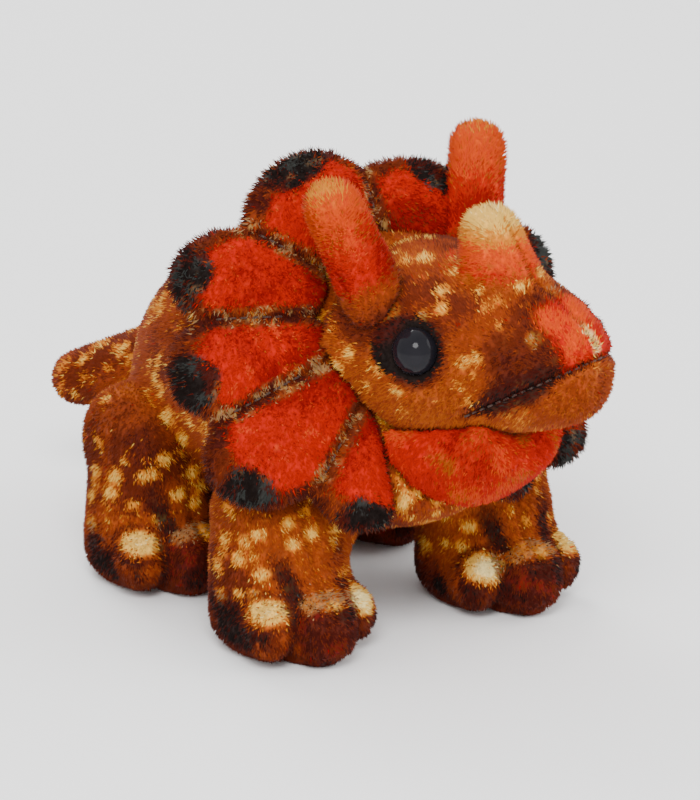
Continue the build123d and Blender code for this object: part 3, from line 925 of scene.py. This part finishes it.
class PLUSH_OT_legs(bpy.types.Operator):
    """Sew and fill the four legs"""
    bl_idname = "plush.legs"
    bl_label = "Legs"

    def execute(self, context):
        for index, leg in enumerate(LEGS):
            self.make(leg, context.scene.plush_sizes, 20 + index)
        return {"FINISHED"}

    def make(self, leg, sizes, seed):
        nodes = [f"{leg}_{part}" for part in ("leg_outer_panel", "leg_inner_panel", "sole", "leg_stuffing")]
        low, high = (np.array(corner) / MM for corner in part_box(f"{leg}_sole"))
        foot = np.array([(low[0] + high[0]) / 2, high[1] - HEEL_TO_MIDDLE, 0])
        piece = gather(f"{leg}_leg_cover", nodes)
        swell(piece, voxel=1.8, cap=0.8, smoothing=5)
        points = points_of(piece)
        normals = normals_of(piece)
        local = points - foot
        front = smoothstep(-local[:, 1], 6, 12)
        toes = smoothstep(points[:, 2], 19, 12) * front
        for gap in (-TOE_GROOVE_X, TOE_GROOVE_X):
            points = crease(points, normals, local[:, 0] - gap, 1.8, 2.2 * toes)
        seam = front * smoothstep(points[:, 2], 10, 16)
        points = crease(points, normals, local[:, 0], 1.0, sizes.seam_depth * seam)
        edge = smoothstep(points[:, 2], 7, 3)
        points = crease(points, normals, points[:, 2] - 2.4, 0.9, 0.7 * edge)
        points[:, 2] = np.maximum(points[:, 2], 0.0)
        move_points(piece, points)

        def dye(at):
            colour = leg_print(at, foot)
            for toe in (-1, 1):
                inner = toe * foot[0] < 0
                middle = foot + np.array([toe * NAIL_X, NAIL_INNER_Y if inner else NAIL_OUTER_Y, NAIL_Z])
                colour = nail_print(colour, at, middle, np.array(NAIL_SIZE))
            return toe_print(colour, at, foot)

        dress(piece, f"{leg}_leg", nodes, dye)

        def length(at):
            return sizes.pile_length * (0.35 + 0.65 * smoothstep(at[:, 2], 0.3, 2.5))

        lay_pile(piece, f"{leg}_leg_pile", f"{leg}_leg", dye, length,
                 seed=seed, sweep=(0.0, -0.2, -1.0))


class PLUSH_OT_head(bpy.types.Operator):
    """Sew and fill the head with its nose horn"""
    bl_idname = "plush.head"
    bl_label = "Head"

    def execute(self, context):
        sizes = context.scene.plush_sizes
        nodes = ("head_panel_left", "head_panel_right", "jaw_panel", "head_stuffing")
        piece = gather("head_cover", nodes)
        swell(piece, voxel=1.8, cap=0.8, smoothing=4)
        points = points_of(piece)
        normals = normals_of(piece)
        forward, left, height = along_head(points)
        mouth = above_mouth(forward, height)
        lips = smoothstep(forward, 30, 36)
        points = crease(points, normals, mouth, 1.3, 1.7 * lips)
        ridge = smoothstep(forward, 22, 28) * smoothstep(mouth, 0, 3)
        points = crease(points, normals, left, 1.0, sizes.seam_depth * ridge)
        for side in SIDES.values():
            far = np.linalg.norm(points - eye_point(side), axis=1)
            points = crease(points, normals, far, 6.5, 2.3)
        move_points(piece, points)
        dress(piece, "trunk", nodes, head_print)

        def length(at):
            eyes = [np.linalg.norm(at - eye_point(side), axis=1) for side in SIDES.values()]
            near = smoothstep(np.minimum(*eyes), 5.5, 9.0)
            tip = smoothstep(at[:, 2], 106, 113)
            long = sizes.pile_length + (sizes.rim_pile_length - sizes.pile_length) * tip
            return long * (0.15 + 0.85 * near)

        lay_pile(piece, "head_pile", "trunk", head_print, length,
                 seed=31, sweep=(0.0, 1.0, -0.2))
        nodes = ("throat_panel", "throat_stuffing")
        piece = gather("throat_cover", nodes)
        swell(piece, voxel=1.8, cap=0.8, smoothing=5)
        dress(piece, "trunk", nodes, throat_print)
        lay_pile(piece, "throat_pile", "trunk", throat_print, sizes.pile_length, seed=32)
        return {"FINISHED"}


class PLUSH_OT_brow_horns(bpy.types.Operator):
    """Sew and fill the two brow horns"""
    bl_idname = "plush.brow_horns"
    bl_label = "Brow horns"

    def execute(self, context):
        sizes = context.scene.plush_sizes
        for name, side in SIDES.items():
            nodes = (f"brow_horn_cloth_{name}", f"brow_horn_stuffing_{name}")
            piece = gather(f"brow_horn_cover_{name}", nodes)
            swell(piece, voxel=1.5, cap=0.6, smoothing=3)

            def dye(at, side=side):
                return horn_print(at, side)

            def length(at):
                tip = smoothstep(at[:, 2], 105, 118)
                return sizes.pile_length + (sizes.rim_pile_length - sizes.pile_length) * tip

            dress(piece, "trunk", nodes, dye)
            lay_pile(piece, f"brow_horn_pile_{name}", "trunk", dye, length,
                     seed=41 + side, sweep=(0, 0.2, 1.0))
        return {"FINISHED"}


class PLUSH_OT_frill(bpy.types.Operator):
    """Quilt the scalloped frill"""
    bl_idname = "plush.frill"
    bl_label = "Frill"

    def execute(self, context):
        sizes = context.scene.plush_sizes
        nodes = ("frill_front_cloth", "frill_back_cloth", "frill_batting")
        piece = gather("frill_cover", nodes)
        swell(piece, voxel=1.5, cap=0.5, smoothing=3)
        points = points_of(piece)
        normals = normals_of(piece)
        angle, reach, depth = on_frill(points)
        seam, rim = frill_lines(angle, reach)
        puff = (1 - np.exp(-((seam / 6.0) ** 2))) * smoothstep(rim - reach, 0, 9)
        points = points + normals * (1.7 * puff - 0.4)[:, None]
        points = crease(points, normals, seam, 1.3, 1.5 * smoothstep(rim - reach, -1, 2))
        curl = 1.6 * (cloud(points, 26, 300) - 0.5) * smoothstep(rim - reach, 14, 0)
        points = points + FRILL_FRONT * curl[:, None] * 2
        move_points(piece, points)
        dress(piece, "trunk", nodes, frill_print)

        def length(at):
            angle, reach, _ = on_frill(at)
            _, rim = frill_lines(angle, reach)
            loose = smoothstep(rim - reach, 5, 1)
            return sizes.pile_length + (sizes.rim_pile_length - sizes.pile_length) * loose

        lay_pile(piece, "frill_pile", "trunk", frill_print, length,
                 seed=51, sweep=(0.0, 0.3, -0.6))
        return {"FINISHED"}


def stitch_row(path, normals, pitch, radius):
    """A row of separate stitches along a path of points, in mm, each a rounded lozenge of thread."""
    steps = np.linalg.norm(np.diff(path, axis=0), axis=1)
    along = np.concatenate([[0], steps.cumsum()])
    count = max(2, int(along[-1] / pitch))
    made = []
    for index in range(count):
        ends = [(index + share) / count * along[-1] for share in (0.12, 0.86)]
        start, end = (np.array([np.interp(at, along, path[:, axis]) for axis in range(3)]) for at in ends)
        out = np.array([np.interp(sum(ends) / 2, along, normals[:, axis]) for axis in range(3)])
        made.append(stitch(start, end, out / np.linalg.norm(out), radius))
    return made


def stitch(start, end, out, radius):
    """Points and faces of one stitch that dips into the cloth at both ends."""
    axis = end - start
    side = np.cross(axis, out)
    side /= np.linalg.norm(side)
    rings = []
    profile = ((0, -0.5, 0.4), (0.12, 0.2, 0.9), (0.5, 0.55, 1.0), (0.88, 0.2, 0.9), (1, -0.5, 0.4))
    for share, lift, size in profile:
        middle = start + axis * share + out * lift * radius
        for turn in range(6):
            angle = turn * math.pi / 3
            rings.append(middle + radius * size * (math.cos(angle) * side + math.sin(angle) * out))
    faces = [[ring * 6 + turn, ring * 6 + (turn + 1) % 6, ring * 6 + 6 + (turn + 1) % 6, ring * 6 + 6 + turn]
             for ring in range(4) for turn in range(6)]
    faces.append([5, 4, 3, 2, 1, 0])
    faces.append([24, 25, 26, 27, 28, 29])
    return rings, faces


def sew(name, stitches, nodes):
    """Join stitches into one piece of topstitching."""
    points = []
    faces = []
    for ring, quads in stitches:
        faces += [[corner + len(points) for corner in face] for face in quads]
        points += ring
    mesh = bpy.data.meshes.new(name)
    mesh.from_pydata([tuple(point * MM) for point in points], [], faces)
    piece = bpy.data.objects.new(name, mesh)
    bpy.context.scene.collection.objects.link(piece)
    activate(piece)
    bpy.ops.object.mode_set(mode="EDIT")
    bpy.ops.mesh.select_all(action="SELECT")
    bpy.ops.mesh.normals_make_consistent(inside=False)
    bpy.ops.object.mode_set(mode="OBJECT")
    bpy.ops.object.shade_smooth()
    mesh.materials.append(bpy.data.materials["twisted_thread"])
    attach(piece, "trunk")
    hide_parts(*nodes)


def press_on(cover, points, normals, lift):
    """The points moved along their normals onto the cover's surface, standing lift mm proud of it."""
    placed = []
    for point, normal in zip(points, normals):
        origin = Vector((point + normal * 12) * MM)
        hit, place, _, _ = cover.ray_cast(origin, Vector(-normal), distance=30 * MM)
        placed.append(np.array(place) / MM + normal * lift if hit else point)
    return np.array(placed)


class PLUSH_OT_stitching(bpy.types.Operator):
    """Topstitch the frill's seams and the mouth"""
    bl_idname = "plush.stitching"
    bl_label = "Stitching"

    def execute(self, context):
        sizes = context.scene.plush_sizes
        frill = bpy.data.objects["frill_cover"]
        rows = []
        for side in SIDES.values():
            for (degrees, reach), start in zip(FRILL_SEAMS[side], STITCH_STARTS[side]):
                if degrees == 0 and side < 0:
                    continue
                radii = np.linspace(start, reach - STITCH_END, 24)
                across = side * radii * math.sin(math.radians(degrees))
                up = radii * math.cos(math.radians(degrees))
                flat = FRILL_CENTRE + across[:, None] * np.array([1.0, 0, 0]) + up[:, None] * FRILL_UP
                normals = np.tile(FRILL_FRONT, (len(radii), 1))
                path = press_on(frill, flat, normals, 0.35)
                rows += stitch_row(path, normals, sizes.stitch_pitch, sizes.thread_radius)
        sew("frill_topstitching", rows, ["frill_stitching"])
        head = bpy.data.objects["head_cover"]
        rows = []
        turns = np.radians(np.linspace(-88, 88, 90))
        flat = []
        outward = []
        for turn in turns:
            way = HEAD_FORWARD * math.cos(turn) + HEAD_LEFT * math.sin(turn)
            way = way + np.array([0, 0, MOUTH_RISE * math.cos(turn)])
            flat.append(head_point(MOUTH_CORNER[0], 0, MOUTH_CORNER[1]) + way * 20)
            outward.append(way / np.linalg.norm(way))
        path = []
        for point, way in zip(flat, outward):
            origin = Vector((point + way * 40) * MM)
            hit, place, _, _ = head.ray_cast(origin, Vector(-way), distance=70 * MM)
            if hit:
                path.append((np.array(place) / MM + way * 0.3, way))
        path, outward = (np.array(values) for values in zip(*path))
        rows = stitch_row(path, outward, sizes.stitch_pitch, sizes.thread_radius)
        sew("mouth_topstitching", rows, ["mouth_stitching"])
        return {"FINISHED"}


class PLUSH_OT_finishes(bpy.types.Operator):
    """Finish the eyes and washers that the CAD model gives"""
    bl_idname = "plush.finishes"
    bl_label = "Eyes and washers"

    def execute(self, context):
        for name in SIDES:
            finishes = {f"eye_{name}": "polished_black_eye", f"eye_washer_{name}": "natural_nylon"}
            for node, finish in finishes.items():
                for slot in bpy.data.objects[node].material_slots:
                    slot.link = "OBJECT"
                    slot.material = bpy.data.materials[finish]
        return {"FINISHED"}


class PLUSH_OT_stage(bpy.types.Operator):
    """Set the floor, lights and camera"""
    bl_idname = "plush.stage"
    bl_label = "Stage"

    def execute(self, context):
        colours = context.scene.plush_colours
        bpy.ops.mesh.primitive_plane_add(size=FLOOR_SIZE, location=(0, 0, 0))
        floor = context.active_object
        floor.name = "floor"
        tree = Tree("pale_floor")
        soft = tree.grain(3, 2.0)
        tone = tree.mix(soft, tuple(colours.floor_dark), tuple(colours.floor_light))
        floor.data.materials.append(tree.set(Base_Color=tone, Roughness=0.9))
        world = bpy.data.worlds.new("studio")
        world.use_nodes = True
        sky = world.node_tree.nodes["Background"]
        sky.inputs["Color"].default_value = (1, 1, 1, 1)
        sky.inputs["Strength"].default_value = SKY_STRENGTH
        context.scene.world = world
        for lamp in LAMPS:
            self.lamp(*lamp)
        azimuth, elevation = math.radians(CAMERA_TURN), math.radians(CAMERA_RISE)
        way = Vector((
            math.sin(azimuth) * math.cos(elevation),
            -math.cos(azimuth) * math.cos(elevation),
            math.sin(elevation),
        ))
        camera = bpy.data.objects.new("camera", bpy.data.cameras.new("camera"))
        context.scene.collection.objects.link(camera)
        camera.location = Vector(CAMERA_AIM) + way * CAMERA_DISTANCE
        camera.rotation_euler = (-way).to_track_quat("-Z", "Y").to_euler()
        camera.data.lens = CAMERA_LENS
        camera.data.sensor_width = 36
        camera.data.clip_start = 0.01
        context.scene.camera = camera
        return {"FINISHED"}

    def lamp(self, name, place, size, power):
        lamp = bpy.data.lights.new(name, "AREA")
        lamp.shape = "DISK"
        lamp.size = size
        lamp.energy = power
        holder = bpy.data.objects.new(name, lamp)
        bpy.context.scene.collection.objects.link(holder)
        holder.location = place
        way = Vector(LAMP_AIM) - Vector(place)
        holder.rotation_euler = way.to_track_quat("-Z", "Y").to_euler()


class PLUSH_PT_panel(bpy.types.Panel):
    bl_idname = "PLUSH_PT_panel"
    bl_label = "Plush dinosaur"
    bl_space_type = "VIEW_3D"
    bl_region_type = "UI"
    bl_category = "Plush"

    def draw(self, context):
        for key in PlushSizes.__annotations__:
            self.layout.prop(context.scene.plush_sizes, key)
        for key in PlushColours.__annotations__:
            self.layout.prop(context.scene.plush_colours, key)
        for operator in OPERATORS:
            self.layout.operator(operator.bl_idname)


OPERATORS = (
    PLUSH_OT_stage,
    PLUSH_OT_materials,
    PLUSH_OT_trunk,
    PLUSH_OT_tail,
    PLUSH_OT_legs,
    PLUSH_OT_head,
    PLUSH_OT_brow_horns,
    PLUSH_OT_frill,
    PLUSH_OT_stitching,
    PLUSH_OT_finishes,
)
CLASSES = (PlushSizes, PlushColours, *OPERATORS, PLUSH_PT_panel)


def register():
    for entry in CLASSES:
        bpy.utils.register_class(entry)
    bpy.types.Scene.plush_sizes = PointerProperty(type=PlushSizes)
    bpy.types.Scene.plush_colours = PointerProperty(type=PlushColours)


def unregister():
    del bpy.types.Scene.plush_colours
    del bpy.types.Scene.plush_sizes
    for entry in reversed(CLASSES):
        bpy.utils.unregister_class(entry)


def main():
    register()
    for operator in OPERATORS:
        family, name = operator.bl_idname.split(".")
        getattr(getattr(bpy.ops, family), name)()


if __name__ == "__main__":
    main()
